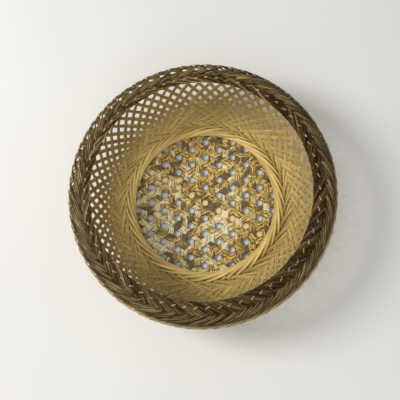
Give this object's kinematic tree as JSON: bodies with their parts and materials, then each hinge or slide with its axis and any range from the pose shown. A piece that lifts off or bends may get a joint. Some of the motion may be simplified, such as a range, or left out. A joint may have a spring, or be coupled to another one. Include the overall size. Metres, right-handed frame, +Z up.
{
  "type": "bamboo bowl basket",
  "caption": "Round shallow bamboo bowl basket: open hexagonal woven floor, wheel-woven lattice wall bulging outwards, and an in-turned dark plaited rim.",
  "frame": {"origin": "centre of the foot, on the surface that the basket stands on", "axes": "+Z up, out of the bowl's mouth; +Y along the floor's straight strips"},
  "size_m": [0.28, 0.28, 0.08],
  "materials": {
    "bamboo_pale": "split bamboo, inner face, satin",
    "bamboo_dark": "smoked bamboo skin, satin, with light cut edges",
    "bamboo_mottled": "mottled bamboo skin, cream, gold and dark brown, satin",
    "bamboo_brace": "plain split bamboo, matt"
  },
  "bodies": {
    "root": {"brace_strip": "bamboo_brace", "floor_strip_straight_01": "bamboo_mottled", "floor_strip_straight_02": "bamboo_mottled", "floor_strip_straight_03": "bamboo_mottled", "floor_strip_straight_04": "bamboo_mottled", "floor_strip_straight_05": "bamboo_mottled", "floor_strip_straight_06": "bamboo_mottled", "floor_strip_straight_07": "bamboo_mottled", "floor_strip_straight_08": "bamboo_mottled", "floor_strip_straight_09": "bamboo_mottled", "floor_strip_straight_10": "bamboo_mottled", "floor_strip_rising_01": "bamboo_mottled", "floor_strip_rising_02": "bamboo_mottled", "floor_strip_rising_03": "bamboo_mottled", "floor_strip_rising_04": "bamboo_mottled", "floor_strip_rising_05": "bamboo_mottled", "floor_strip_rising_06": "bamboo_mottled", "floor_strip_rising_07": "bamboo_mottled", "floor_strip_rising_08": "bamboo_mottled", "floor_strip_rising_09": "bamboo_mottled", "floor_strip_rising_10": "bamboo_mottled", "floor_strip_falling_01": "bamboo_mottled", "floor_strip_falling_02": "bamboo_mottled", "floor_strip_falling_03": "bamboo_mottled", "floor_strip_falling_04": "bamboo_mottled", "floor_strip_falling_05": "bamboo_mottled", "floor_strip_falling_06": "bamboo_mottled", "floor_strip_falling_07": "bamboo_mottled", "floor_strip_falling_08": "bamboo_mottled", "floor_strip_falling_09": "bamboo_mottled", "floor_strip_falling_10": "bamboo_mottled", "ring_weave": "bamboo_pale", "wall_dense_weave": "bamboo_pale", "wall_lattice": "bamboo_pale", "rim_lattice": "bamboo_dark", "rim_braid_outer_row": "bamboo_dark", "rim_braid_inner_row": "bamboo_dark", "lip_edge": "bamboo_dark"}
  },
  "joints": []
}
